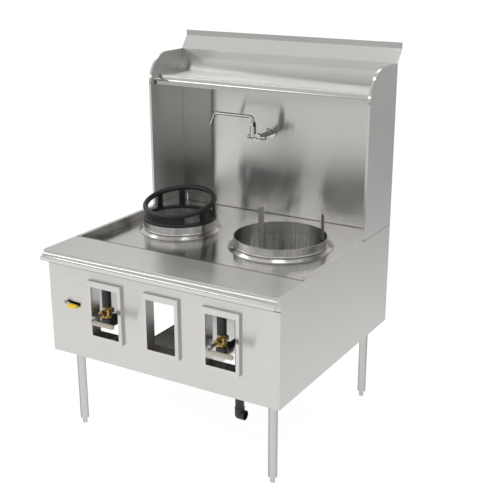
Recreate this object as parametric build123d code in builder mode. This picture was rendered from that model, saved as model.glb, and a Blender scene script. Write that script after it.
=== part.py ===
"""Two-chamber wok range, 1219 mm wide, on four legs. Millimetres, +Z up, X across, Y to the back.
The origin is on the floor, under the middle of the range."""

import os
from math import cos, radians, sin, sqrt

from build123d import *

os.makedirs("parts", exist_ok=True)

# ---- driving dimensions ----------------------------------------------------------------------
body_width = 1219.2
body_depth = 1127.0
floor_gap = 413.0
work_height = 922.6
riser_top = 1712.0
sheet = 2.0
fit_gap = 0.3
running_fit = 0.05
flange = 30.0

rail_width = 19.0
deck_drop = 40.6
ledge_depth = 208.0
nose_out = 54.0
nose_radius = 28.0
nose_height = 45.6
nose_return = 14.0

opening_width = 150.0
opening_height = 236.0
opening_drop = 141.6
opening_inset = 302.1
opening_middle = 24.3
frame_side_border = 17.0
frame_top_border = 28.0
frame_low_border = 18.0
frame_out = 14.5
sleeve_in = 45.0

chamber_back = 660.0
chamber_inset = {"left": 284.6, "right": 361.6}
collar_radius = {"left": 183.0, "right": 223.8}
collar_height = 56.6
collar_wall = 2.5
bead_radius = 4.0
bead_height = 19.0
skirt_height = 14.0
skirt_reach = 22.0
skirt_edge = 2.0
ear_reach = {"left": 20.0, "right": 27.0}
ear_height = {"left": 20.0, "right": 32.0}
ear_sheet = 5.0
ear_hole = 8.0
ear_angles = (30.5, 210.5)
tab_width = 28.0
tab_wall = 3.0
tab_above = 79.0
tab_below = 50.0
tab_angles = (51.6, 144.5)
drum_below = 44.0
drum_flange = 20.0

ring_section = 9.5
rim_radius = 172.0
rim_section = 13.0
ring_inset = 9.0
rim_rise = 75.2
rim_tilt = 10.7
post_width = 31.0
post_wall = 12.0
shield_wall = 8.0
ring_axis = 72.0
shield_axis = 255.8
shield_half_angle = 55.3
post_angles = (-87.5, -48.5, 48.5, 89.5)

cheek_depth = 306.0
cheek_corner = 150.0
hem_width = 12.0
wall_inset = 7.0
cove_radius = 70.0
shelf_height = 1606.0
shelf_front_inset = 27.0
deflector_back = 47.0
deflector_rise = 91.0
deflector_hem = 27.0

leg_diameter = 41.3
leg_wall = 1.65
leg_side_inset = 80.0
leg_end_inset = {"front": 92.0, "rear": 84.0}
foot_height = 33.7
foot_diameter = 22.0
foot_stem = 16.0
foot_ring = 3.7
foot_travel = 25.0
foot_chamfer = 1.5
gusset = 150.0
gusset_sheet = 3.0

burner_radius = 112.0
burner_height = 44.0
burner_chamfer = 4.0
burner_inlet = 25.0
socket_depth = 14.0
jet_row_radii = (0.0, 38.0, 76.0)
jet_row_counts = (1, 6, 12)
jet_flats = 14.0
jet_base = 6.0
jet_tip = 5.0
jet_height = 18.0

pipe_diameter = 42.2
pipe_wall = 3.6
fitting_wall = 2.4
valve_offset = -15.8
valve_inset = 26.0
valve_drop = 264.6
header_drop = 107.6
supply_inset = 49.6
supply_out = 6.0
supply_thread = 24.0
thread_depth = 0.4
outlet_diameter = 33.4
outlet_drop = 27.0
elbow_diameter = 54.0
valve_half = 27.0
valve_body = 44.0
valve_chamfer = 2.0
valve_flats = 41.0
valve_hex = 12.0
bonnet_diameter = 27.0
bonnet_reach = 34.0
bonnet_nut = 11.0
bonnet_flats = 31.0
cap_reach = 34.0
cap_flats = 27.0

lever_reach = 90.0
hub_reach = 64.0
lever_drop = 9.0
lever_shift = 18.0
bar_length = 110.0
bar_core = 12.0
sleeve_wall = 5.0
stem_diameter = 16.0
stem_end = 14.0
hub_diameter = 22.0
hub_half = 6.0

slot_inset = 133.6
slot_drop = 247.6
slot_length = 84.0
slot_width = 16.0
guard_depth = 16.0
guard_margin = 14.0
lever_side = 1.0
lever_up = 2.0
lever_stem = 10.0
lever_thread = 6.0
lever_out = 12.0
lever_sheet = 3.0
lever_length = 64.0
lever_fall = 12.0
lever_width = 9.0
grip_start = 16.0
grip_length = 51.0
grip_thick = 12.0
grip_high = 22.0
grip_low = 17.0
lever_nut_flats = 13.0
lever_nut_height = 4.5
water_body = 34.0
water_body_length = 44.0
water_pipe_diameter = 15.9
water_pipe_wall = 1.2
water_pipe_inset = 41.6
water_pipe_rear = 60.0
water_pipe_out = 36.0
water_bend = 22.0
water_inlet_end = 440.0
water_inlet_back = 190.0
water_thread = 15.0

faucet_x = -57.0
faucet_height = 1318.0
faucet_reach = 150.0
swivel_offset = -27.0
spout_rise = 101.0
spout_reach = 225.0
spout_diameter = 16.0
spout_wall = 1.5
spout_bend = 20.0
spout_fall = 50.0
spout_lean = 22.0
shank_diameter = 22.0
shank_length = 20.0
wall_flange = 54.0
wall_flange_depth = 7.0
faucet_arm = 25.0
faucet_stub = 18.0
stub_left = 29.0
stub_right = 46.0
union_flats = 38.0
union_half = 8.0
column_low = 32.0
column_low_height = 55.0
column_nut = 28.0
column_nut_height = 19.0
aerator_diameter = 21.0
aerator_length = 25.0
tap_reach = 44.0
tap_stem = 8.0
tap_hub = 16.0
tap_hub_height = 10.0
tap_rise = 6.0
tap_lever = 30.0
tap_ball = 14.0

drain_x = 273.0
drain_back = 240.0
drain_low = 195.0
drain_elbow_reach = 31.0
drain_socket = 36.0

partition_x = 160.0
partition_front = 55.0
partition_depth = 430.0
bearer_width = 40.0
bearer_height = 30.0
bearer_inset = {"front": 130.0, "rear": 137.0}
pan_left = -268.0
pan_depth = 560.0
pan_edge = 12.0

# ---- places worked out from them -------------------------------------------------------------
half = body_width / 2
front_reach = lever_reach + bar_core / 2 + sleeve_wall
front = front_reach - (front_reach + body_depth + deflector_back) / 2
rear = front + body_depth
wall = rear - wall_inset
ledge_top = work_height
deck_top = work_height - deck_drop
deck_under = deck_top - sheet
collar_top = deck_top + collar_height
chamber_x = {"left": -half + chamber_inset["left"], "right": half - chamber_inset["right"]}
chamber_y = front + chamber_back
cheek_front = rear - cheek_depth
opening_sill = work_height - opening_drop - opening_height
opening_pitch = half - opening_inset
opening_x = {
    "left": opening_middle - opening_pitch,
    "centre": opening_middle,
    "right": opening_middle + opening_pitch,
}
valve_x = {"left": opening_x["left"] + valve_offset, "right": opening_x["right"] + valve_offset}
valve_y = front + valve_inset
valve_height = work_height - valve_drop
header_height = work_height - header_drop
slot_x = -half + slot_inset
slot_height = work_height - slot_drop
water_pipe_x = -half + water_pipe_inset
lever_x = slot_x - slot_length / 2 + slot_width / 2 - lever_side
lever_y = front - lever_out
lever_z = slot_height + lever_up
swivel_x = faucet_x + swivel_offset
swivel_y = wall - faucet_reach
drain_y = front + drain_back
outlet_height = valve_height - valve_half - outlet_drop
drum_floor = outlet_height - drum_below
supply_x = half - supply_inset
drum_wall_radius = {side: radius - collar_wall for side, radius in collar_radius.items()}


def box_at(x_range, y_range, z_range, mode=Mode.ADD):
    """A box between two corners, for the folded sheet's flat walls."""
    size = [high - low for low, high in (x_range, y_range, z_range)]
    centre = [(high + low) / 2 for low, high in (x_range, y_range, z_range)]
    with Locations(tuple(centre)):
        Box(*size, mode=mode)


def polar(centre_x, centre_y, radius, angle):
    return centre_x + radius * cos(radians(angle)), centre_y + radius * sin(radians(angle))


# ---- cabinet sheets --------------------------------------------------------------------------
with BuildPart() as front_panel:
    box_at((-half, half), (front, front + sheet), (floor_gap, ledge_top - sheet))
    inner = half - flange - fit_gap
    box_at((-inner, inner), (front, front + flange), (floor_gap, floor_gap + sheet))
    with BuildSketch(Plane.XZ.offset(-front)):
        for centre in opening_x.values():
            with Locations((centre, opening_sill + opening_height / 2)):
                cut = 2 * (sheet + fit_gap)
                Rectangle(opening_width + cut, opening_height + cut)
        with Locations((slot_x, slot_height)):
            SlotOverall(slot_length, slot_width)
    extrude(amount=-sheet, mode=Mode.SUBTRACT)
front_panel.part.label = "front_panel"
export_step(front_panel.part, "parts/front_panel.step")

for side, sign in (("left", -1), ("right", 1)):
    with BuildPart() as side_panel:
        outer, inner = sorted((sign * half, sign * (half - sheet)))
        box_at((outer, inner), (front + sheet, rear), (floor_gap, ledge_top - sheet))
        span = sorted((sign * half, sign * (half - flange)))
        box_at(span, (front + sheet, rear), (floor_gap, floor_gap + sheet))
        span = sorted((sign * half, sign * (half - rail_width)))
        box_at(span, (front + ledge_depth, rear), (ledge_top - sheet, ledge_top))
        span = sorted((sign * (half - rail_width), sign * (half - rail_width + sheet)))
        box_at(span, (front + ledge_depth, wall - sheet - fit_gap), (deck_top, ledge_top))
    side_panel.part.label = f"side_panel_{side}"
    export_step(side_panel.part, f"parts/side_panel_{side}.step")

with BuildPart() as rear_panel:
    inner = half - sheet
    box_at((-inner, inner), (rear - sheet, rear), (floor_gap + sheet, deck_under))
    lip = half - flange - fit_gap
    box_at((-lip, lip), (rear - flange, rear), (floor_gap, floor_gap + sheet))
    box_at((-inner, inner), (rear - flange, rear), (deck_under - sheet, deck_under))
    with BuildSketch(Plane.XZ.offset(-(rear - sheet))):
        with Locations((supply_x, header_height)):
            Circle(pipe_diameter / 2 + fit_gap)
        with Locations((faucet_x, lever_z)):
            Circle(water_pipe_diameter / 2 + fit_gap)
    extrude(amount=-sheet, mode=Mode.SUBTRACT)
rear_panel.part.label = "rear_panel"
export_step(rear_panel.part, "parts/rear_panel.step")

with BuildPart() as deck:
    edge = half - sheet - fit_gap
    box_at((-edge, edge), (front + sheet + fit_gap, rear - fit_gap), (deck_under, deck_top))
    with BuildSketch(Plane.XY.offset(deck_under)):
        for side, centre in chamber_x.items():
            with Locations((centre, chamber_y)):
                Circle(drum_wall_radius[side])
        with Locations((drain_x, drain_y)):
            Circle(pipe_diameter / 2 - pipe_wall)
    extrude(amount=sheet, mode=Mode.SUBTRACT)
deck.part.label = "deck"
export_step(deck.part, "parts/deck.step")


def nose_line(y_front, z_top, y_back, height):
    """Outer line of a rolled nose, from its flat top round the roll to the returned lip."""
    Line((y_back, z_top), (y_front + nose_radius, z_top))
    RadiusArc((y_front + nose_radius, z_top), (y_front, z_top - nose_radius), nose_radius)
    Polyline(
        (y_front, z_top - nose_radius),
        (y_front, z_top - height),
        (y_front + nose_return, z_top - height),
    )


with BuildPart() as front_ledge:
    with BuildSketch(Plane.YZ.offset(-half)):
        with BuildLine():
            nose_line(front - nose_out, ledge_top, front + ledge_depth, nose_height)
            offset(amount=sheet, side=Side.LEFT)
        make_face()
    extrude(amount=body_width)
    with BuildSketch(Plane.YZ.offset(-half), Plane.YZ.offset(half - sheet)):
        with BuildLine():
            nose_line(front - nose_out, ledge_top, front, nose_height)
            Polyline(
                (front - nose_out + nose_return, ledge_top - nose_height),
                (front, ledge_top - nose_height),
                (front, ledge_top),
            )
        make_face()
    extrude(amount=sheet)
    drop = half - sheet - fit_gap
    y_drop = front + ledge_depth
    box_at((-drop, drop), (y_drop - sheet, y_drop), (deck_top, ledge_top))
front_ledge.part.label = "front_ledge"
export_step(front_ledge.part, "parts/front_ledge.step")


# ---- cooktop ---------------------------------------------------------------------------------
def section_plane(x, y, z=0.0):
    """An upright plane through an axis, for profiles drawn as radius and height."""
    return Plane(origin=(x, y, z), x_dir=(1, 0, 0), z_dir=(0, -1, 0))


def upright(x, y):
    return Axis((x, y, 0), (0, 0, 1))


def rod(start, direction, diameter, length, mode=Mode.ADD):
    """A round bar from a point along a direction."""
    with Locations(Plane(origin=start, z_dir=direction)):
        Cylinder(diameter / 2, length, align=(Align.CENTER, Align.CENTER, Align.MIN), mode=mode)


def tube(start, direction, diameter, wall_thickness, length):
    rod(start, direction, diameter, length)
    rod(start, direction, diameter - 2 * wall_thickness, length, mode=Mode.SUBTRACT)


to_right = (1, 0, 0)
to_left = (-1, 0, 0)
to_back = (0, 1, 0)
to_front = (0, -1, 0)
upwards = (0, 0, 1)
downwards = (0, 0, -1)

for side, radius in collar_radius.items():
    x = chamber_x[side]
    with BuildPart() as collar:
        with BuildSketch(section_plane(x, chamber_y, deck_top)):
            with Locations((radius, bead_height)):
                Circle(bead_radius)
            with BuildLine():
                Polyline(
                    (radius, skirt_height),
                    (radius, 0),
                    (radius + skirt_reach, 0),
                    (radius + skirt_reach, skirt_edge),
                    close=True,
                )
            make_face()
            with Locations((radius - collar_wall, 0)):
                Rectangle(collar_wall, collar_height, align=Align.MIN)
        revolve(axis=upright(x, chamber_y))
        for angle in ear_angles:
            out_x, out_y = polar(0, 0, 1, angle)
            base = (x, chamber_y, deck_top)
            with BuildSketch(Plane(origin=base, x_dir=(out_x, out_y, 0), z_dir=(out_y, -out_x, 0))):
                reach = radius + ear_reach[side]
                shoulder = ear_height[side] - ear_reach[side] + collar_wall
                with BuildLine():
                    Polyline((radius - collar_wall, shoulder), (radius - collar_wall, 0), (reach, 0))
                    Line((reach, 0), (reach, shoulder))
                    RadiusArc((reach, shoulder), (radius, shoulder + ear_reach[side]), -ear_reach[side])
                    Line((radius, shoulder + ear_reach[side]), (radius - collar_wall, shoulder))
                make_face()
                with Locations((radius + ear_reach[side] * 2 / 3, ear_height[side] / 2)):
                    Circle(ear_hole / 2, mode=Mode.SUBTRACT)
            extrude(amount=ear_sheet / 2, both=True)
        with Locations((x, chamber_y, deck_top)):
            bore = radius - collar_wall
            upto = (Align.CENTER, Align.CENTER, Align.MIN)
            Cylinder(bore, collar_height, align=upto, mode=Mode.SUBTRACT)
    collar.part.label = f"collar_{side}"
    export_step(collar.part, f"parts/collar_{side}.step")

tab_reach = drum_wall_radius["right"]
with BuildPart() as chamber_tabs:
    tab_start = Plane(origin=(chamber_x["right"], chamber_y, collar_top - tab_below))
    for angle in tab_angles:
        with BuildSketch(tab_start.rotated((0, 0, angle))):
            with Locations((tab_reach, 0)):
                Rectangle(tab_width, tab_width)
            Circle(tab_reach, mode=Mode.INTERSECT)
            Circle(tab_reach - tab_wall, mode=Mode.SUBTRACT)
        extrude(amount=tab_below + tab_above)
chamber_tabs.part.label = "chamber_tabs"
export_step(chamber_tabs.part, "parts/chamber_tabs.step")

# ---- cast ring that carries the wok ----------------------------------------------------------
ring_x = chamber_x["left"]
ring_radius = collar_radius["left"] - ring_inset
ring_seat = sqrt((ring_section + fit_gap) ** 2 - (ring_inset - collar_wall) ** 2)
ring_z = collar_top + ring_seat
ring_base = Plane(origin=(ring_x, chamber_y, ring_z))
rim_plane = Plane(origin=(ring_x, chamber_y, ring_z + rim_rise)).rotated((rim_tilt, 0, 0))
with BuildPart() as wok_ring:
    with BuildSketch(ring_base):
        for offset_angle in post_angles:
            post_x, post_y = polar(0, 0, rim_radius, ring_axis + offset_angle)
            with Locations(Location((post_x, post_y, 0), (0, 0, ring_axis + offset_angle))):
                Rectangle(2 * post_wall, post_width)
        Circle(rim_radius + post_wall / 2, mode=Mode.INTERSECT)
        Circle(rim_radius - post_wall / 2, mode=Mode.SUBTRACT)
    extrude(amount=2 * rim_rise)
    with BuildSketch(ring_base.rotated((0, 0, shield_axis))):
        far_x, far_y = polar(0, 0, 2 * rim_radius, shield_half_angle)
        Polygon((0, 0), (far_x, -far_y), (2 * rim_radius, 0), (far_x, far_y), align=None)
        Circle(rim_radius + shield_wall / 2, mode=Mode.INTERSECT)
        Circle(rim_radius - shield_wall / 2, mode=Mode.SUBTRACT)
    extrude(amount=2 * rim_rise)
    split(bisect_by=rim_plane, keep=Keep.BOTTOM)
    with Locations(ring_base):
        Torus(ring_radius, ring_section)
    with Locations(rim_plane):
        Torus(rim_radius, rim_section)
wok_ring.part.label = "wok_ring"
export_step(wok_ring.part, "parts/wok_ring.step")

# ---- riser: backsplash, cheeks, shelf and flared top -----------------------------------------
riser_half = half - sheet - fit_gap
with BuildPart() as backsplash:
    low = half - rail_width - fit_gap
    box_at((-low, low), (wall, wall + sheet), (deck_top, ledge_top))
    box_at((-riser_half, riser_half), (wall, wall + sheet), (ledge_top, riser_top))
    for sign in (-1, 1):
        span = sorted((sign * riser_half, sign * (riser_half - sheet)))
        box_at(span, (wall, rear), (ledge_top, riser_top))
    rod((faucet_x, wall, faucet_height), to_back, shank_diameter + 2 * fit_gap, sheet, Mode.SUBTRACT)
backsplash.part.label = "backsplash"
export_step(backsplash.part, "parts/backsplash.step")


def rounded_plate(y_start, y_end, z_start, z_end, radius):
    """A side plate whose upper front corner is rounded, drawn in the YZ plane."""
    Line((y_end, z_end), (y_end, z_start))
    Line((y_end, z_start), (y_start, z_start))
    Line((y_start, z_start), (y_start, z_end - radius))
    RadiusArc((y_start, z_end - radius), (y_start + radius, z_end), radius)
    Line((y_start + radius, z_end), (y_end, z_end))


for side, sign in (("left", -1), ("right", 1)):
    with BuildPart() as cheek:
        with BuildSketch(Plane.YZ.offset(sign * half)):
            with BuildLine():
                rounded_plate(cheek_front, rear, ledge_top, riser_top, cheek_corner)
            make_face()
        extrude(amount=-sign * sheet)
        hem_end = wall - sheet - fit_gap
        with BuildSketch(Plane.YZ.offset(sign * half)):
            with BuildLine():
                rounded_plate(cheek_front, hem_end, ledge_top, riser_top, cheek_corner)
            make_face()
            with BuildLine():
                inner_front = cheek_front + sheet
                inner_top = riser_top - sheet
                rounded_plate(inner_front, hem_end, ledge_top, inner_top, cheek_corner - sheet)
            make_face(mode=Mode.SUBTRACT)
        extrude(amount=-sign * hem_width)
    cheek.part.label = f"cheek_{side}"
    export_step(cheek.part, f"parts/cheek_{side}.step")

with BuildPart() as shelf:
    with BuildSketch(Plane.YZ.offset(-riser_half)):
        with BuildLine():
            strip = wall - sheet
            Line((strip, riser_top), (strip, shelf_height + cove_radius))
            RadiusArc(
                (strip, shelf_height + cove_radius), (strip - cove_radius, shelf_height), cove_radius
            )
            shelf_front = cheek_front + shelf_front_inset
            nose_line(shelf_front, shelf_height, strip - cove_radius, nose_height)
            offset(amount=sheet, side=Side.LEFT)
        make_face()
    extrude(amount=2 * riser_half)
shelf.part.label = "shelf"
export_step(shelf.part, "parts/shelf.step")

with BuildPart() as top_deflector:
    low = wall + sheet
    high = rear + deflector_back - sheet
    overall_height = riser_top + deflector_rise
    with BuildSketch(Plane.YZ.offset(-half)):
        with BuildLine():
            Polyline(
                (low, riser_top - flange),
                (low, riser_top),
                (high, overall_height - deflector_hem),
                (high, overall_height),
            )
            offset(amount=sheet, side=Side.RIGHT)
        make_face()
    extrude(amount=body_width)
    inner = riser_half - sheet - fit_gap
    for sign in (-1, 1):
        span = sorted((sign * inner, sign * half))
        box_at(span, (low, high), (riser_top - flange, riser_top), Mode.SUBTRACT)
top_deflector.part.label = "top_deflector"
export_step(top_deflector.part, "parts/top_deflector.step")

# ---- knee openings ---------------------------------------------------------------------------
for side, x in opening_x.items():
    with BuildPart() as opening_frame:
        side_edge = opening_width / 2 + frame_side_border
        low_edge = opening_sill - frame_low_border
        high_edge = opening_sill + opening_height + frame_top_border
        face = front - frame_out
        box_at((x - side_edge, x + side_edge), (face, front), (low_edge, high_edge))
        inside = side_edge - sheet
        hollow = (low_edge + sheet, high_edge - sheet)
        box_at((x - inside, x + inside), (face + sheet, front), hollow, Mode.SUBTRACT)
        reveal = opening_width / 2
        span = (opening_sill - sheet, opening_sill + opening_height + sheet)
        box_at((x - reveal - sheet, x + reveal + sheet), (face, front + sleeve_in), span)
        span = (opening_sill, opening_sill + opening_height)
        box_at((x - reveal, x + reveal), (face, front + sleeve_in), span, Mode.SUBTRACT)
        if side in valve_x:
            start = (valve_x[side], valve_y, opening_sill + opening_height)
            rod(start, upwards, pipe_diameter + 2 * fit_gap, 2 * sheet, Mode.SUBTRACT)
    opening_frame.part.label = f"opening_frame_{side}"
    export_step(opening_frame.part, f"parts/opening_frame_{side}.step")

# ---- fire chambers and burners ---------------------------------------------------------------
for side, radius in drum_wall_radius.items():
    x = chamber_x[side]
    with BuildPart() as chamber_drum:
        with BuildSketch(section_plane(x, chamber_y)):
            with Locations((radius, drum_floor)):
                Rectangle(sheet, deck_under - drum_floor, align=Align.MIN)
            with Locations((radius, deck_under - sheet)):
                Rectangle(drum_flange, sheet, align=Align.MIN)
            with Locations((radius + sheet, drum_floor)):
                Rectangle(drum_flange, sheet, align=(Align.MAX, Align.MIN))
        revolve(axis=upright(x, chamber_y))
        start = (valve_x[side], chamber_y - 2 * radius, outlet_height)
        rod(start, to_back, outlet_diameter + 2 * fit_gap, 2 * radius, Mode.SUBTRACT)
    chamber_drum.part.label = f"chamber_drum_{side}"
    export_step(chamber_drum.part, f"parts/chamber_drum_{side}.step")

    burner_top = outlet_height + burner_height / 2
    inlet_y = chamber_y - burner_radius - burner_inlet
    with BuildPart() as burner:
        with Locations((x, chamber_y, outlet_height)):
            Cylinder(burner_radius, burner_height)
        chamfer(burner.edges().filter_by(GeomType.CIRCLE), burner_chamfer)
        start = (valve_x[side], inlet_y, outlet_height)
        rod(start, to_back, outlet_diameter + 4 * fit_gap + 2 * pipe_wall, burner_radius + burner_inlet)
        rod(start, to_back, outlet_diameter + 2 * running_fit, socket_depth, Mode.SUBTRACT)
        rod(start, to_back, outlet_diameter - 2 * pipe_wall, burner_radius, Mode.SUBTRACT)
    burner.part.label = f"burner_{side}"
    export_step(burner.part, f"parts/burner_{side}.step")

    with BuildPart() as burner_jets:
        for row_radius, count in zip(jet_row_radii, jet_row_counts):
            for turn in range(count):
                jet_x, jet_y = polar(x, chamber_y, row_radius, 360 * turn / count)
                with BuildSketch(Plane(origin=(jet_x, jet_y, burner_top))):
                    RegularPolygon(jet_flats / 2, 6, major_radius=False)
                extrude(amount=jet_base)
                with Locations((jet_x, jet_y, burner_top + jet_base)):
                    upto = (Align.CENTER, Align.CENTER, Align.MIN)
                    Cone(jet_flats / 2, jet_tip / 2, jet_height, align=upto)
    burner_jets.part.label = f"burner_jets_{side}"
    export_step(burner_jets.part, f"parts/burner_jets_{side}.step")

# ---- gas pipes, knee valves and their levers -------------------------------------------------
fitting = pipe_diameter + 2 * fitting_wall
with BuildPart() as gas_manifold:
    start_x = valve_x["left"] - pipe_diameter
    end_x = supply_x - fitting / 2
    tube((start_x, valve_y, header_height), to_right, pipe_diameter, pipe_wall, end_x - start_x)
    rod((start_x, valve_y, header_height), to_left, fitting, fitting / 3)
    for x in valve_x.values():
        drop_end = valve_height + valve_half
        length = header_height - pipe_diameter / 2 + pipe_wall - drop_end
        tube((x, valve_y, drop_end), upwards, pipe_diameter, pipe_wall, length)
gas_manifold.part.label = "gas_manifold"
export_step(gas_manifold.part, "parts/gas_manifold.step")

with BuildPart() as gas_supply_pipe:
    corner = (supply_x, valve_y, header_height)
    with Locations(corner):
        Sphere(fitting / 2)
    socket = fitting / 2 + socket_depth
    rod(corner, to_left, fitting, socket)
    rod(corner, to_back, fitting, socket)
    rod(corner, to_back, pipe_diameter, rear + supply_out - valve_y)
    start = (supply_x - socket, valve_y, header_height)
    rod(start, to_right, pipe_diameter + 2 * running_fit, socket_depth, Mode.SUBTRACT)
    thread_start = (supply_x, rear + supply_out, header_height)
    rod(thread_start, to_back, pipe_diameter - 2 * thread_depth, supply_thread)
    clear = pipe_diameter - 2 * pipe_wall
    rod(start, to_right, clear, socket, Mode.SUBTRACT)
    rod(corner, to_back, clear, rear + supply_out + supply_thread - valve_y, Mode.SUBTRACT)
gas_supply_pipe.part.label = "gas_supply_pipe"
export_step(gas_supply_pipe.part, "parts/gas_supply_pipe.step")

for side, x in valve_x.items():
    with BuildPart() as knee_valve:
        valve = (x, valve_y, valve_height)
        bottom = (x, valve_y, valve_height - valve_half)
        top = (x, valve_y, valve_height + valve_half)
        with Locations(valve):
            Cylinder(valve_body / 2, 2 * (valve_half - valve_hex))
        chamfer(knee_valve.edges().filter_by(GeomType.CIRCLE), valve_chamfer)
        for z in (valve_height - valve_half, valve_height + valve_half - valve_hex):
            with BuildSketch(Plane.XY.offset(z)):
                with Locations((x, valve_y)):
                    RegularPolygon(valve_flats / 2, 6, major_radius=False)
            extrude(amount=valve_hex)
        rod(top, upwards, pipe_diameter - 2 * pipe_wall - 2 * running_fit, socket_depth)
        rod(bottom, downwards, outlet_diameter, socket_depth)
        rod(valve, to_front, bonnet_diameter, bonnet_reach)
        with BuildSketch(Plane(origin=(x, valve_y - bonnet_reach, valve_height), z_dir=to_front)):
            RegularPolygon(bonnet_flats / 2, 6, major_radius=False)
        extrude(amount=bonnet_nut)
        with BuildSketch(Plane(origin=valve, z_dir=to_back)):
            RegularPolygon(cap_flats / 2, 6, major_radius=False)
        extrude(amount=cap_reach)
        start = (x, valve_y - bonnet_reach - bonnet_nut, valve_height)
        rod(start, to_back, stem_diameter + 2 * running_fit, bonnet_reach + bonnet_nut, Mode.SUBTRACT)
        clear = outlet_diameter - 2 * pipe_wall
        passage = valve_half + socket_depth
        rod((x, valve_y, valve_height + passage), downwards, clear, valve_half, Mode.SUBTRACT)
        rod((x, valve_y, valve_height - passage), upwards, clear, valve_half, Mode.SUBTRACT)
    knee_valve.part.label = f"knee_valve_{side}"
    export_step(knee_valve.part, f"parts/knee_valve_{side}.step")

    with BuildPart() as burner_pipe:
        corner = (x, valve_y, outlet_height)
        rise = outlet_drop
        run = chamber_y - burner_radius - burner_inlet + socket_depth - valve_y
        with Locations(corner):
            Sphere(elbow_diameter / 2)
        rod(corner, upwards, elbow_diameter, rise)
        rod(corner, to_back, elbow_diameter, elbow_diameter)
        rod(corner, to_back, outlet_diameter, run)
        rod(corner, upwards, clear, rise, Mode.SUBTRACT)
        rod(corner, to_back, clear, run, Mode.SUBTRACT)
        socket_bore = outlet_diameter + 2 * running_fit
        rod(bottom, downwards, socket_bore, socket_depth, Mode.SUBTRACT)
    burner_pipe.part.label = f"burner_pipe_{side}"
    export_step(burner_pipe.part, f"parts/burner_pipe_{side}.step")

    bar_y = front - lever_reach
    bar_z = valve_height - lever_drop
    bar_x = x + lever_shift
    core_end = bar_x + bar_length - bar_core / 2 - sleeve_wall
    with BuildPart() as knee_lever:
        hub_y = front - hub_reach
        rod((x, hub_y, valve_height), to_back, stem_diameter, valve_y - stem_end - hub_y)
        rod((x, hub_y + hub_half, valve_height), to_front, hub_diameter, 2 * hub_half)
        with BuildLine(mode=Mode.PRIVATE) as arm:
            FilletPolyline(
                (x, hub_y, valve_height), (x, bar_y, bar_z), (core_end, bar_y, bar_z), radius=bar_core
            )
        with BuildSketch(Plane(origin=arm.line @ 0, z_dir=arm.line % 0)):
            Circle(bar_core / 2)
        sweep(path=arm.line)
    knee_lever.part.label = f"knee_lever_{side}"
    export_step(knee_lever.part, f"parts/knee_lever_{side}.step")

    with BuildPart() as knee_sleeve:
        grip = bar_core + 2 * sleeve_wall
        rod((bar_x, bar_y, bar_z), to_right, grip, bar_length - grip / 2)
        with Locations((bar_x + bar_length - grip / 2, bar_y, bar_z)):
            Sphere(grip / 2)
        hole = core_end - bar_x
        rod((bar_x, bar_y, bar_z), to_right, bar_core + 2 * running_fit, hole, Mode.SUBTRACT)
    knee_sleeve.part.label = f"knee_sleeve_{side}"
    export_step(knee_sleeve.part, f"parts/knee_sleeve_{side}.step")

# ---- water valve with its lever, and the pipe to the faucet ----------------------------------
guard_back = front + sheet + guard_depth
port_y = guard_back + water_body / 2 + fit_gap
with BuildPart() as slot_guard:
    reach = slot_length / 2 + guard_margin
    rise = slot_width / 2 + guard_margin
    x_span = (slot_x - reach, slot_x + reach)
    z_span = (slot_height - rise, slot_height + rise)
    box_at(x_span, (front + sheet, guard_back), z_span)
    x_span = (slot_x - reach + sheet, slot_x + reach - sheet)
    z_span = (slot_height - rise + sheet, slot_height + rise - sheet)
    box_at(x_span, (front + sheet, guard_back - sheet), z_span, Mode.SUBTRACT)
    bore = lever_stem + 2 * running_fit
    rod((lever_x, guard_back, lever_z), to_front, bore, guard_depth, Mode.SUBTRACT)
slot_guard.part.label = "slot_guard"
export_step(slot_guard.part, "parts/slot_guard.step")

with BuildPart() as water_valve:
    start = (lever_x, guard_back + fit_gap, lever_z)
    rod(start, to_back, water_body, water_body_length)
    port = (lever_x, port_y, lever_z)
    arm = water_body / 2 + socket_depth
    socket = water_pipe_diameter + 2 * pipe_wall
    rod(port, to_left, socket, arm)
    inlet_y = front + water_inlet_back
    inlet_corner = (lever_x, inlet_y, lever_z)
    inlet_drop = lever_z - water_inlet_end
    rod(inlet_corner, to_front, water_pipe_diameter, inlet_y - port_y)
    with Locations(inlet_corner):
        Sphere(socket / 2)
    rod(inlet_corner, downwards, water_pipe_diameter, inlet_drop - water_thread)
    rod(inlet_corner, downwards, water_pipe_diameter - 2 * thread_depth, inlet_drop)
    clear = water_pipe_diameter - 2 * pipe_wall
    rod(inlet_corner, downwards, clear, inlet_drop, Mode.SUBTRACT)
    rod(inlet_corner, to_front, clear, inlet_y - port_y - lever_stem, Mode.SUBTRACT)
    mouth = (lever_x - arm, port_y, lever_z)
    rod(mouth, to_right, water_pipe_diameter + 2 * running_fit, socket_depth, Mode.SUBTRACT)
    rod(start, to_back, lever_stem + 2 * running_fit, water_body / 2, Mode.SUBTRACT)
water_valve.part.label = "water_valve"
export_step(water_valve.part, "parts/water_valve.step")

grip_plane = Plane(origin=(lever_x, lever_y, lever_z), x_dir=to_right, z_dir=to_front)
with BuildPart() as water_lever:
    length = port_y - lever_y
    rod((lever_x, lever_y, lever_z), to_back, lever_stem, length)
    nut_reach = lever_sheet + lever_nut_height
    rod((lever_x, lever_y, lever_z), to_front, lever_thread, nut_reach)
    with BuildSketch(grip_plane):
        Circle(lever_width)
        with BuildLine():
            Polyline(
                (0, lever_width),
                (lever_length, -lever_fall + lever_width / 2),
                (lever_length, -lever_fall - lever_width / 2),
                (0, -lever_width),
                close=True,
            )
        make_face()
    extrude(amount=lever_sheet)
water_lever.part.label = "water_lever"
export_step(water_lever.part, "parts/water_lever.step")

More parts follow.
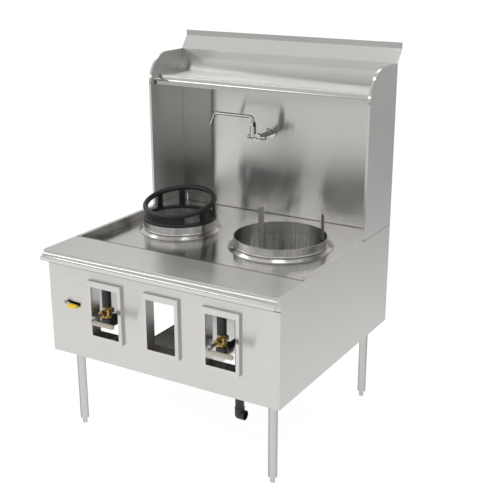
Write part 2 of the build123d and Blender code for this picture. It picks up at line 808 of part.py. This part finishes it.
with BuildPart() as water_lever_grip:
    end = grip_start + grip_length
    middle = -lever_fall
    back_face = (lever_sheet - grip_thick) / 2
    with BuildSketch(grip_plane.offset(back_face)):
        with BuildLine():
            Polyline(
                (grip_start, middle + grip_high / 2),
                (end, middle + grip_low / 2),
                (end, middle - grip_low / 2),
                (grip_start, middle - grip_high / 2),
                close=True,
            )
        make_face()
        fillet(vertices(), grip_low / 4)
    extrude(amount=grip_thick)
    with BuildSketch(grip_plane.offset(-running_fit)):
        with BuildLine():
            Polyline(
                (0, lever_width + running_fit),
                (lever_length + running_fit, -lever_fall + lever_width / 2 + running_fit),
                (lever_length + running_fit, -lever_fall - lever_width / 2 - running_fit),
                (0, -lever_width - running_fit),
                close=True,
            )
        make_face()
    extrude(amount=lever_sheet + 2 * running_fit, mode=Mode.SUBTRACT)
water_lever_grip.part.label = "water_lever_grip"
export_step(water_lever_grip.part, "parts/water_lever_grip.step")

with BuildPart() as water_lever_nut:
    with BuildSketch(grip_plane.offset(lever_sheet)):
        RegularPolygon(lever_nut_flats / 2, 6, major_radius=False)
        Circle(lever_thread / 2 + running_fit, mode=Mode.SUBTRACT)
    extrude(amount=lever_nut_height)
water_lever_nut.part.label = "water_lever_nut"
export_step(water_lever_nut.part, "parts/water_lever_nut.step")

with BuildPart() as water_pipe:
    pipe_start_x = lever_x - water_body / 2
    inside_y = rear - water_pipe_rear
    behind_y = rear + water_pipe_out
    with BuildLine():
        FilletPolyline(
            (pipe_start_x, port_y, lever_z),
            (water_pipe_x, port_y, lever_z),
            (water_pipe_x, inside_y, lever_z),
            (faucet_x, inside_y, lever_z),
            (faucet_x, behind_y, lever_z),
            (faucet_x, behind_y, faucet_height),
            (faucet_x, wall + sheet, faucet_height),
            radius=water_bend,
        )
    with BuildSketch(Plane(origin=(pipe_start_x, port_y, lever_z), z_dir=to_left)):
        Circle(water_pipe_diameter / 2)
        Circle(water_pipe_diameter / 2 - water_pipe_wall, mode=Mode.SUBTRACT)
    sweep()
water_pipe.part.label = "water_pipe"
export_step(water_pipe.part, "parts/water_pipe.step")

# ---- swing faucet on the backsplash ----------------------------------------------------------
inlet = (faucet_x, wall, faucet_height)
cross = (faucet_x, swivel_y, faucet_height)
column_base = (swivel_x, swivel_y, faucet_height)
column_top = faucet_height + column_low_height
tap = (faucet_x, wall - tap_reach, faucet_height)
with BuildPart() as faucet_body:
    rod(inlet, to_front, wall_flange, wall_flange_depth)
    rod(inlet, to_back, shank_diameter, shank_length)
    rod(inlet, to_front, faucet_arm, faucet_reach)
    with Locations(cross):
        Sphere(faucet_arm / 2)
    rod(cross, to_left, faucet_stub, faucet_x - swivel_x + stub_left)
    rod(cross, to_right, faucet_stub, stub_right)
    with BuildSketch(Plane(origin=cross, z_dir=to_front).offset(-union_half)):
        RegularPolygon(union_flats / 2, 6, major_radius=False)
    extrude(amount=2 * union_half)
    rod(column_base, upwards, column_low, column_low_height)
    rod(tap, upwards, tap_hub, faucet_arm / 2 + tap_rise)
    swivel_bore = (swivel_x, swivel_y, column_top)
    rod(swivel_bore, downwards, spout_diameter + 2 * running_fit, column_low_height / 2, Mode.SUBTRACT)
    tap_top = (faucet_x, wall - tap_reach, faucet_height + faucet_arm / 2 + tap_rise)
    rod(tap_top, downwards, tap_stem + 2 * running_fit, tap_hub, Mode.SUBTRACT)
    pipe_mouth = (faucet_x, wall + shank_length, faucet_height)
    depth = shank_length - sheet
    rod(pipe_mouth, to_front, water_pipe_diameter + 2 * running_fit, depth, Mode.SUBTRACT)
faucet_body.part.label = "faucet_body"
export_step(faucet_body.part, "parts/faucet_body.step")

with BuildPart() as faucet_nut:
    with BuildSketch(Plane.XY.offset(column_top)):
        with Locations((swivel_x, swivel_y)):
            RegularPolygon(column_nut / 2, 6, major_radius=False)
            Circle(spout_diameter / 2 + running_fit, mode=Mode.SUBTRACT)
    extrude(amount=column_nut_height)
faucet_nut.part.label = "faucet_nut"
export_step(faucet_nut.part, "parts/faucet_nut.step")

spout_z = faucet_height + spout_rise
tip_x = swivel_x - spout_reach - spout_lean
with BuildPart() as faucet_spout:
    foot = (swivel_x, swivel_y, column_top - column_low_height / 2)
    with BuildLine() as spout_line:
        FilletPolyline(
            foot,
            (swivel_x, swivel_y, spout_z),
            (swivel_x - spout_reach, swivel_y, spout_z),
            (tip_x, swivel_y, spout_z - spout_fall),
            radius=spout_bend,
        )
    with BuildSketch(Plane(origin=foot)):
        Circle(spout_diameter / 2)
        Circle(spout_diameter / 2 - spout_wall, mode=Mode.SUBTRACT)
    sweep()
faucet_spout.part.label = "faucet_spout"
export_step(faucet_spout.part, "parts/faucet_spout.step")

with BuildPart() as faucet_aerator:
    outlet = Plane(origin=spout_line.line @ 1, z_dir=spout_line.line % 1)
    with BuildSketch(outlet.offset(-aerator_length / 2)):
        Circle(aerator_diameter / 2)
    extrude(amount=aerator_length)
    with BuildSketch(outlet.offset(-aerator_length / 2)):
        Circle(spout_diameter / 2 + running_fit)
    extrude(amount=aerator_length / 2, mode=Mode.SUBTRACT)
    with BuildSketch(outlet):
        Circle(spout_diameter / 2 - spout_wall)
    extrude(amount=aerator_length / 2, mode=Mode.SUBTRACT)
faucet_aerator.part.label = "faucet_aerator"
export_step(faucet_aerator.part, "parts/faucet_aerator.step")

with BuildPart() as faucet_handle:
    rod(tap_top, downwards, tap_stem, tap_hub)
    rod(tap_top, upwards, tap_hub, tap_hub_height)
    lever_middle = (faucet_x, wall - tap_reach, tap_top[2] + tap_hub_height / 2)
    rod(lever_middle, to_right, tap_stem, tap_lever)
    with Locations((faucet_x + tap_lever, wall - tap_reach, lever_middle[2])):
        Sphere(tap_ball / 2)
faucet_handle.part.label = "faucet_handle"
export_step(faucet_handle.part, "parts/faucet_handle.step")

# ---- drain -----------------------------------------------------------------------------------
drain_top = (drain_x, drain_y, deck_under)
drain_turn = (drain_x, drain_y, drain_low)
drain_collar = drain_low + drain_socket
with BuildPart() as drain_pipe:
    rod(drain_top, downwards, fitting + socket_depth, pipe_wall)
    rod(drain_top, downwards, pipe_diameter, deck_under - drain_collar + socket_depth)
    clear = pipe_diameter - 2 * pipe_wall
    rod(drain_top, downwards, clear, deck_under - drain_collar + socket_depth, Mode.SUBTRACT)
drain_pipe.part.label = "drain_pipe"
export_step(drain_pipe.part, "parts/drain_pipe.step")

with BuildPart() as drain_elbow:
    with Locations(drain_turn):
        Sphere(fitting / 2)
    rod(drain_turn, upwards, fitting, drain_socket)
    rod(drain_turn, to_right, fitting, drain_elbow_reach)
    mouth = (drain_x, drain_y, drain_collar)
    rod(mouth, downwards, pipe_diameter + 2 * running_fit, socket_depth, Mode.SUBTRACT)
    rod(mouth, downwards, clear, drain_socket, Mode.SUBTRACT)
    rod(drain_turn, to_right, clear, drain_elbow_reach, Mode.SUBTRACT)
    mouth = (drain_x + drain_elbow_reach, drain_y, drain_low)
    rod(mouth, to_left, pipe_diameter, socket_depth, Mode.SUBTRACT)
drain_elbow.part.label = "drain_elbow"
export_step(drain_elbow.part, "parts/drain_elbow.step")

# ---- legs, feet and the frame inside ---------------------------------------------------------
gusset_z = floor_gap + sheet
for end, inset in leg_end_inset.items():
    leg_y = front + inset if end == "front" else rear - inset
    for side, sign in (("left", -1), ("right", 1)):
        leg_x = sign * (half - leg_side_inset)
        with BuildPart() as leg:
            bottom = (leg_x, leg_y, foot_height)
            tube(bottom, upwards, leg_diameter, leg_wall, gusset_z - foot_height)
            rod(bottom, upwards, leg_diameter - leg_wall, foot_travel)
            rod(bottom, upwards, foot_stem + 2 * running_fit, foot_travel, Mode.SUBTRACT)
        leg.part.label = f"leg_{end}_{side}"
        export_step(leg.part, f"parts/leg_{end}_{side}.step")

        with BuildPart() as foot:
            rod((leg_x, leg_y, 0), upwards, foot_diameter, foot_height - foot_ring)
            rod((leg_x, leg_y, foot_height - foot_ring), upwards, leg_diameter, foot_ring)
            rod((leg_x, leg_y, foot_height), upwards, foot_stem, 2 * foot_travel + foot_stem)
            chamfer(foot.edges().group_by(Axis.Z)[0], foot_chamfer)
        foot.part.label = f"foot_{end}_{side}"
        export_step(foot.part, f"parts/foot_{end}_{side}.step")

plate_x = half - sheet - fit_gap
with BuildPart() as corner_gussets:
    for sign in (-1, 1):
        for start, turn in ((front + sheet + fit_gap, 1), (rear - sheet - fit_gap, -1)):
            with BuildSketch(Plane.XY.offset(gusset_z)):
                with BuildLine():
                    Polyline(
                        (sign * plate_x, start),
                        (sign * (plate_x - gusset), start),
                        (sign * (plate_x - gusset), start + turn * gusset / 2),
                        (sign * (plate_x - gusset / 2), start + turn * gusset),
                        (sign * plate_x, start + turn * gusset),
                        close=True,
                    )
                make_face()
            extrude(amount=gusset_sheet)
corner_gussets.part.label = "corner_gussets"
export_step(corner_gussets.part, "parts/corner_gussets.step")

with BuildPart() as deck_bearers:
    for start in (front + bearer_inset["front"], rear - bearer_inset["rear"] - bearer_width):
        reach = half - sheet - fit_gap
        span = (deck_under - bearer_height, deck_under)
        box_at((-reach, reach), (start, start + bearer_width), span)
        inner = (start + sheet, start + bearer_width - sheet)
        span = (deck_under - bearer_height, deck_under - sheet)
        box_at((-reach, reach), inner, span, Mode.SUBTRACT)
deck_bearers.part.label = "deck_bearers"
export_step(deck_bearers.part, "parts/deck_bearers.step")

pan_bottom = floor_gap + sheet
with BuildPart() as floor_pan:
    pan_y = (front + sheet + fit_gap, front + pan_depth)
    box_at((pan_left, partition_x), pan_y, (pan_bottom, pan_bottom + sheet))
    box_at((pan_left, pan_left + sheet), pan_y, (pan_bottom, pan_bottom + pan_edge))
    box_at((pan_left, partition_x), (pan_y[1] - sheet, pan_y[1]), (pan_bottom, pan_bottom + pan_edge))
floor_pan.part.label = "floor_pan"
export_step(floor_pan.part, "parts/floor_pan.step")

with BuildPart() as partition:
    depth = (front + partition_front, front + partition_depth)
    low = pan_bottom + sheet
    box_at((partition_x - sheet, partition_x), depth, (low, deck_under - bearer_height))
    box_at((partition_x - flange, partition_x), depth, (low, low + sheet))
partition.part.label = "partition"
export_step(partition.part, "parts/partition.step")
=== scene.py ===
import math

import bpy
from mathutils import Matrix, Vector

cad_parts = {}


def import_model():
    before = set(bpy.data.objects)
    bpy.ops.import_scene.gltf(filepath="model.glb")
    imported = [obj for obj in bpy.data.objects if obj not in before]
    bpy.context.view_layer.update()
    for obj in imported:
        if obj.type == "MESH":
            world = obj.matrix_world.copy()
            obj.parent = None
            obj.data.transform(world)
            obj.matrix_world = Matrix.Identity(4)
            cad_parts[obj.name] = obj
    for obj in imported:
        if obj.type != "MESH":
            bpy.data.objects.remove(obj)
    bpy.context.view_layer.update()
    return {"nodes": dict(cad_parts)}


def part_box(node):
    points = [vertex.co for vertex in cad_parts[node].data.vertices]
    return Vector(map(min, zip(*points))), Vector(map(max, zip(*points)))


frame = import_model()


# ---- shader nodes ----------------------------------------------------------------------------
def new_material(name):
    material = bpy.data.materials.new(name)
    material.use_nodes = True
    tree = material.node_tree
    return material, tree, tree.nodes["Principled BSDF"]


def feed(tree, node, inputs):
    """Sets a node's inputs; each value is a plain one or the socket that it comes from."""
    for name, value in inputs.items():
        if isinstance(value, bpy.types.NodeSocket):
            tree.links.new(value, node.inputs[name])
        else:
            node.inputs[name].default_value = value


def add(tree, kind, inputs, **settings):
    node = tree.nodes.new(kind)
    for key, value in settings.items():
        setattr(node, key, value)
    feed(tree, node, inputs)
    return node


def place(tree):
    """Where a point of the surface lies, in metres, with the range at rest."""
    return add(tree, "ShaderNodeTexCoord", {}).outputs["Object"]


def place_on(tree, axis):
    return add(tree, "ShaderNodeSeparateXYZ", {"Vector": place(tree)}).outputs[axis]


def per_axis(axis, along, across):
    """Three numbers: one for the named axis and another for the other two."""
    return tuple(along if letter == axis else across for letter in "xyz")


def noise(tree, scale, detail, density=(1.0, 1.0, 1.0)):
    """A cloudy value about 0.5; density is how quickly it changes along X, Y and Z."""
    mapping = add(tree, "ShaderNodeMapping", {"Vector": place(tree), "Scale": density})
    clouds = add(tree, "ShaderNodeTexNoise",
                 {"Vector": mapping.outputs["Vector"], "Scale": scale, "Detail": detail})
    return clouds.outputs["Fac"]


def ramp(tree, value, start, stop, low=0.0, high=1.0):
    """Goes from low to high while the value goes from start to stop."""
    limits = {"From Min": start, "From Max": stop, "To Min": low, "To Max": high}
    return add(tree, "ShaderNodeMapRange", {"Value": value, **limits}).outputs["Result"]


def spread(tree, clouds, low, high):
    """Widens noise, most of which lies between 0.3 and 0.7, to a range."""
    return ramp(tree, clouds, start=0.3, stop=0.7, low=low, high=high)


def blend(tree, factor, first, second):
    """The first value where the factor is 0, and the second where it is 1."""
    mix = add(tree, "ShaderNodeMix", {"Factor": factor, "A": first, "B": second}, data_type="FLOAT")
    return mix.outputs["Result"]


def tint(tree, factor, dark, light):
    """The dark colour where the factor is 0, and the light one where it is 1."""
    colours = {"A": (*dark, 1.0), "B": (*light, 1.0)}
    return add(tree, "ShaderNodeMix", {"Factor": factor, **colours}, data_type="RGBA").outputs["Result"]


def vector_math(tree, operation, first, second):
    """One operation on two vectors, or on a colour and a value."""
    return add(tree, "ShaderNodeVectorMath", {0: first, 1: second}, operation=operation).outputs["Vector"]


def bump(tree, height, strength, distance):
    relief = {"Height": height, "Strength": strength, "Distance": distance}
    return add(tree, "ShaderNodeBump", relief).outputs["Normal"]


# ---- brushed steel ---------------------------------------------------------------------------
WARM = (1.0, 0.985, 0.955)
GRAIN_SCALE = 8.0
GRAIN_ALONG = 0.5
GRAIN_ACROSS = 26.0
GRAIN_DEPTH = 0.0003
RIPPLE_ALONG = 0.25
RIPPLE_ACROSS = 10.0
CLOUD_SCALE = 2.2
CORNER_SHADE_REACH = 0.012
LINE_SHADE = 0.3
POLISHED = 0.09
NOSE_FADE = 0.004
# A line reaches this much further, so that a face right at its end is inside it.
HAIR = 0.0001
# Added to a direction, so that it doesn't vanish where the surface faces along an axis.
OFF_AXIS = (0.003, 0.005, 0.007)


def grey(level):
    return tuple(level * part for part in WARM)


def painted_corner_shade(tree, darkest):
    """Painted shade: 1 in the open, down to the darkest value in inner corners and joints, where shade
    falls.
    """
    around = add(tree, "ShaderNodeAmbientOcclusion", {"Distance": CORNER_SHADE_REACH}, samples=6)
    return ramp(tree, around.outputs["AO"], start=0.25, stop=0.75, low=darkest)


def on_line(tree, axis, low, high):
    """1 between two places along an axis and 0 elsewhere."""
    middle = (low + high) / 2
    reach = (high - low) / 2 + HAIR
    near = add(tree, "ShaderNodeMath", {0: place_on(tree, axis), 1: middle, 2: reach}, operation="COMPARE")
    return near.outputs["Value"]


def across_grain(tree, grain):
    """The direction in the surface that crosses the grain, in which brushed steel smears light."""
    normal = add(tree, "ShaderNodeNewGeometry", {}).outputs["Normal"]
    crossing = vector_math(tree, "CROSS_PRODUCT", normal, per_axis(grain, along=1.0, across=0.0))
    return vector_math(tree, "ADD", crossing, OFF_AXIS)


def steel(name, grain, colour=0.60, rough=(0.19, 0.23), anisotropic=1.0, streak=0.015, smear=None,
          nose=None, line=None, corner=0.55, ripple=None):
    """Stainless sheet brushed along one axis.

    streak  how far the grain's colour varies, as a share
    smear   the axis along which light smears, where that isn't across the grain
    nose    where its polished nose ends along Y
    line    the axis, start and end of a painted shade line along an edge
    corner  how dark the painted shade in its inner corners is
    ripple  the depth of upright ripples, in place of the grain's bump
    """
    material, tree, shader = new_material(name)

    streaks = noise(tree, GRAIN_SCALE, detail=4.0, density=per_axis(grain, GRAIN_ALONG, GRAIN_ACROSS))
    dark = grey(colour * (1.0 - streak))
    light = grey(colour * (1.0 + streak))
    base = tint(tree, spread(tree, streaks, low=0.0, high=1.0), dark, light)
    # Painted shade, darker in inner corners and joints.
    shade = painted_corner_shade(tree, corner)
    # Painted shade: a dark line, where one is given.
    if line is not None:
        shade = blend(tree, on_line(tree, *line), shade, LINE_SHADE)

    roughness = spread(tree, noise(tree, CLOUD_SCALE, detail=3.0), *rough)
    if nose is not None:
        behind = ramp(tree, place_on(tree, "Y"), nose - NOSE_FADE, nose + NOSE_FADE)
        roughness = blend(tree, behind, POLISHED, roughness)

    if ripple is None:
        normal = bump(tree, streaks, strength=0.01, distance=GRAIN_DEPTH)
    else:
        upright = per_axis("z", RIPPLE_ALONG, RIPPLE_ACROSS)
        ripples = noise(tree, GRAIN_SCALE, detail=3.0, density=upright)
        normal = bump(tree, ripples, strength=1.0, distance=ripple)

    if smear is None:
        tangent = across_grain(tree, grain)
    else:
        tangent = vector_math(tree, "ADD", per_axis(smear, along=1.0, across=0.0), OFF_AXIS)

    feed(tree, shader, {
        "Metallic": 1.0,
        "Anisotropic": anisotropic,
        "Base Color": vector_math(tree, "MULTIPLY", base, shade),
        "Roughness": roughness,
        "Normal": normal,
        "Tangent": tangent,
    })
    return material


# ---- smooth metal and coated surfaces --------------------------------------------------------
PORE_DEPTH = 0.0005
# How many times finer the pores are than the clouds.
METAL_PORES = 30
COATED_PORES = 6


def metal(name, dark, light, rough, rim, scale=9.0, strength=0.05):
    """Smooth metal with a painted dark reflection at its rim: its colour is painted darker where it turns
    away from the view, keeping the share rim of it.
    """
    material, tree, shader = new_material(name)
    clouds = noise(tree, scale, detail=4.0)
    pores = noise(tree, scale * METAL_PORES, detail=2.0)
    # Painted dark reflection: the colour darkens where the surface turns away from the view.
    facing = add(tree, "ShaderNodeLayerWeight", {}).outputs["Facing"]
    painted_rim_darkening = ramp(tree, facing, start=0.25, stop=0.6, low=1.0, high=rim)
    feed(tree, shader, {
        "Metallic": 1.0,
        "Base Color": vector_math(tree, "MULTIPLY", tint(tree, clouds, dark, light), painted_rim_darkening),
        "Roughness": spread(tree, clouds, *rough),
        "Normal": bump(tree, pores, strength, PORE_DEPTH),
    })
    return material


def coated(name, dark, light, rough, scale, strength, depth, coat=0.0):
    """A painted, cast or moulded surface."""
    material, tree, shader = new_material(name)
    clouds = noise(tree, scale, detail=5.0)
    pores = noise(tree, scale * COATED_PORES, detail=3.0)
    feed(tree, shader, {
        "Coat Weight": coat,
        "Base Color": tint(tree, clouds, dark, light),
        "Roughness": spread(tree, clouds, *rough),
        "Normal": bump(tree, pores, strength, depth),
    })
    return material


# ---- where noses end and dark lines lie ------------------------------------------------------
NOSE_DEPTH = 0.026
LEDGE_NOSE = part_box("front_ledge")[0].y + NOSE_DEPTH
SHELF_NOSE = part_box("shelf")[0].y + NOSE_DEPTH

# Painted shade along the rear strip of the ledge, where it turns down to the deck.
LEDGE_STEP = 0.009
LEDGE_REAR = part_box("front_ledge")[1].y
LEDGE_SHADE_LINE = ("Y", LEDGE_REAR - LEDGE_STEP, LEDGE_REAR)

# A painted shade line on the front panel, this far under the ledge.
SHADE_LINE_DROP = 0.025
SHADE_LINE_HALF_WIDTH = 0.0022
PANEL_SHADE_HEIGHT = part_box("front_ledge")[0].z - SHADE_LINE_DROP
PANEL_SHADE_LINE = ("Z", PANEL_SHADE_HEIGHT - SHADE_LINE_HALF_WIDTH, PANEL_SHADE_HEIGHT + SHADE_LINE_HALF_WIDTH)

# Painted shade lines this wide run along the foot of a part.
FOOT_SHADE_WIDTH = 0.003


# Painted shade along the foot of the given part.
def shade_line_at_foot(node):
    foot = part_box(node)[0].z
    return "Z", foot, foot + FOOT_SHADE_WIDTH


# ---- finishes --------------------------------------------------------------------------------
STEEL_X = steel("stainless_grain_across", "x")
STEEL_Y = steel("stainless_grain_deep", "y")
PANEL = steel("stainless_panel", "x", line=PANEL_SHADE_LINE)
LEDGE = steel("stainless_ledge", "x", nose=LEDGE_NOSE, line=LEDGE_SHADE_LINE)
DECK = steel("stainless_deck", "x", colour=0.58, rough=(0.14, 0.18), anisotropic=0.85)
BACKSPLASH = steel("stainless_backsplash", "x", rough=(0.16, 0.2), line=shade_line_at_foot("backsplash"),
                   corner=0.9, ripple=0.0001)
CHEEK = steel("stainless_cheek", "y", line=shade_line_at_foot("cheek_right"), corner=0.9)
SHELF = steel("stainless_shelf", "x", rough=(0.3, 0.35), nose=SHELF_NOSE, corner=0.9)
FLARE = steel("stainless_flare", "x", colour=0.72, rough=(0.1, 0.14), anisotropic=0.3)
FRAME = steel("stainless_frame", "z", corner=0.9)
PAN = steel("stainless_pan", "y", colour=0.75, rough=(0.34, 0.42), anisotropic=0.5, corner=0.8)
TAB = steel("stainless_tab", "z", colour=0.62, rough=(0.34, 0.42), anisotropic=0.0, corner=0.8)
COLLAR = steel("stainless_collar", "z", colour=0.62, rough=(0.2, 0.26), anisotropic=0.9,
               streak=0.12, smear="z")
DRUM = steel("stainless_drum", "z", colour=0.62, rough=(0.2, 0.3), anisotropic=0.9,
             streak=0.32, smear="z")

TUBE = metal("stainless_tube", (0.52, 0.51, 0.49), (0.58, 0.57, 0.55), (0.26, 0.34), rim=0.55)
CHROME = metal("polished_chrome", (0.5, 0.5, 0.48), (0.58, 0.58, 0.56), (0.06, 0.12), rim=0.4)
ZINC = metal("zinc_plate", (0.42, 0.42, 0.4), (0.52, 0.52, 0.5), (0.3, 0.4), rim=1.0)
BRASS = metal("plain_brass", (0.26, 0.17, 0.05), (0.56, 0.39, 0.14), (0.16, 0.26), rim=0.15,
              scale=60.0, strength=0.1)

CAST_IRON = coated("cast_iron", (0.006, 0.0065, 0.008), (0.014, 0.015, 0.017), (0.36, 0.5),
                   scale=60.0, strength=0.25, depth=0.001)
BLACK_IRON = coated("black_iron", (0.006, 0.007, 0.009), (0.014, 0.015, 0.018), (0.32, 0.46),
                    scale=50.0, strength=0.2, depth=0.0008)
CREAM = coated("cream_sleeve", (0.42, 0.38, 0.31), (0.5, 0.46, 0.38), (0.35, 0.45),
               scale=30.0, strength=0.05, depth=0.0004)
YELLOW = coated("yellow_vinyl", (0.82, 0.55, 0.004), (0.88, 0.62, 0.006), (0.28, 0.38),
                scale=25.0, strength=0.08, depth=0.0004, coat=0.2)

FINISH = {
    PANEL: ["front_panel"],
    LEDGE: ["front_ledge"],
    DECK: ["deck"],
    BACKSPLASH: ["backsplash"],
    CHEEK: ["cheek_left", "cheek_right"],
    SHELF: ["shelf"],
    FLARE: ["top_deflector"],
    FRAME: ["opening_frame_left", "opening_frame_centre", "opening_frame_right"],
    STEEL_X: ["rear_panel", "corner_gussets", "deck_bearers"],
    STEEL_Y: ["side_panel_left", "side_panel_right"],
    PAN: ["floor_pan", "partition"],
    COLLAR: ["collar_left", "collar_right"],
    TAB: ["chamber_tabs"],
    DRUM: ["chamber_drum_left", "chamber_drum_right"],
    TUBE: [f"{piece}_{end}_{side}"
           for piece in ("leg", "foot") for end in ("front", "rear") for side in ("left", "right")],
    CHROME: ["water_pipe", "faucet_body", "faucet_nut", "faucet_spout", "faucet_aerator",
             "faucet_handle"],
    ZINC: ["knee_lever_left", "knee_lever_right", "water_lever", "water_lever_nut"],
    BRASS: ["knee_valve_left", "knee_valve_right", "water_valve", "burner_jets_left",
            "burner_jets_right"],
    CAST_IRON: ["wok_ring", "burner_left", "burner_right"],
    # slot_guard is a black sheet behind the water lever's slot, painted shade for the dark inside behind
    # it.
    BLACK_IRON: ["gas_manifold", "gas_supply_pipe", "burner_pipe_left", "burner_pipe_right",
                 "drain_pipe", "drain_elbow", "slot_guard"],
    CREAM: ["knee_sleeve_left", "knee_sleeve_right"],
    YELLOW: ["water_lever_grip"],
}
for material, names in FINISH.items():
    for name in names:
        slots = frame["nodes"][name].data.materials
        slots.clear()
        slots.append(material)

# ---- floor, light and camera -----------------------------------------------------------------
FLOOR_REACH = 45.0
FLOOR_COLOUR = (0.12, 0.12, 0.12, 1.0)
FLOOR_TO_CAMERA = 0.94
BRIGHTEST = (-1.6, -2.4, 0.0)
NEAR = 2.5
NEAR_GLOW = 1.0
FAR = 8.0
FAR_GLOW = 0.4

WORLD_COLOUR = (1.0, 1.0, 1.0, 1.0)
WORLD_TO_CAMERA = 1.0
WORLD_GLOW = 0.75

# The camera stands where the photograph was taken from.
SENSOR = 36.0
LENS = 68.177
EYE = (2.2814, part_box("front_panel")[0].y - 3.0865, 2.3015)
LOOK_DOWN = math.radians(18.648)
TURN_LEFT = math.radians(30.429)


def floor():
    """White to the camera; what the steel reflects of it dims away from its brightest place."""
    corners = [(-1, -1), (1, -1), (1, 1), (-1, 1)]
    mesh = bpy.data.meshes.new("floor")
    mesh.from_pydata([(FLOOR_REACH * x, FLOOR_REACH * y, 0.0) for x, y in corners], [], [(0, 1, 2, 3)])
    plane = bpy.data.objects.new("floor", mesh)
    bpy.context.scene.collection.objects.link(plane)

    material, tree, shader = new_material("floor_white")
    feed(tree, shader, {"Base Color": FLOOR_COLOUR, "Roughness": 0.9, "Specular IOR Level": 0.0})
    away = add(tree, "ShaderNodeVectorMath", {0: place(tree), 1: BRIGHTEST}, operation="DISTANCE")
    reflected = ramp(tree, away.outputs["Value"], NEAR, FAR, NEAR_GLOW, FAR_GLOW)
    to_camera = add(tree, "ShaderNodeLightPath", {}).outputs["Is Camera Ray"]
    level = blend(tree, to_camera, reflected, FLOOR_TO_CAMERA)
    glow = add(tree, "ShaderNodeEmission", {"Strength": level})
    both = add(tree, "ShaderNodeAddShader", {0: shader.outputs["BSDF"], 1: glow.outputs["Emission"]})
    feed(tree, tree.nodes["Material Output"], {"Surface": both.outputs["Shader"]})
    mesh.materials.append(material)


def world():
    """White to the camera and light grey to everything else."""
    studio = bpy.data.worlds.new("studio")
    studio.use_nodes = True
    tree = studio.node_tree
    to_camera = add(tree, "ShaderNodeLightPath", {}).outputs["Is Camera Ray"]
    level = blend(tree, to_camera, WORLD_GLOW, WORLD_TO_CAMERA)
    feed(tree, tree.nodes["Background"], {"Color": WORLD_COLOUR, "Strength": level})
    bpy.context.scene.world = studio


def strip(name, stand, target, size, brightness):
    """A long lamp; brightness is what a mirror would show of it, where 1 is white."""
    light = bpy.data.lights.new(name, "AREA")
    light.shape = "RECTANGLE"
    light.size, light.size_y = size
    light.energy = brightness * math.pi * size[0] * size[1]
    lamp = bpy.data.objects.new(name, light)
    lamp.location = stand
    lamp.rotation_euler = (Vector(target) - Vector(stand)).to_track_quat("-Z", "Y").to_euler()
    lamp.visible_camera = False
    bpy.context.scene.collection.objects.link(lamp)


def camera():
    optics = bpy.data.cameras.new("camera")
    optics.sensor_width = SENSOR
    optics.lens = LENS
    eye = bpy.data.objects.new("camera", optics)
    eye.location = EYE
    eye.rotation_euler = (math.pi / 2 - LOOK_DOWN, 0.0, TURN_LEFT)
    bpy.context.scene.collection.objects.link(eye)
    bpy.context.scene.camera = eye


floor()
world()
strip("strip_left", stand=(-1.2, 1.2, 3.3), target=(-0.3, -0.4, 1.0), size=(3.5, 0.35), brightness=4.0)
strip("strip_above", stand=(0.2, 0.05, 4.0), target=(0.2, 0.05, 0.9), size=(0.8, 0.5), brightness=7.0)
strip("strip_front", stand=(-1.5, -2.1, 2.35), target=(-0.5, 0.0, 1.2), size=(5.0, 0.24), brightness=3.6)
camera()
bpy.context.scene.view_settings.view_transform = "Standard"
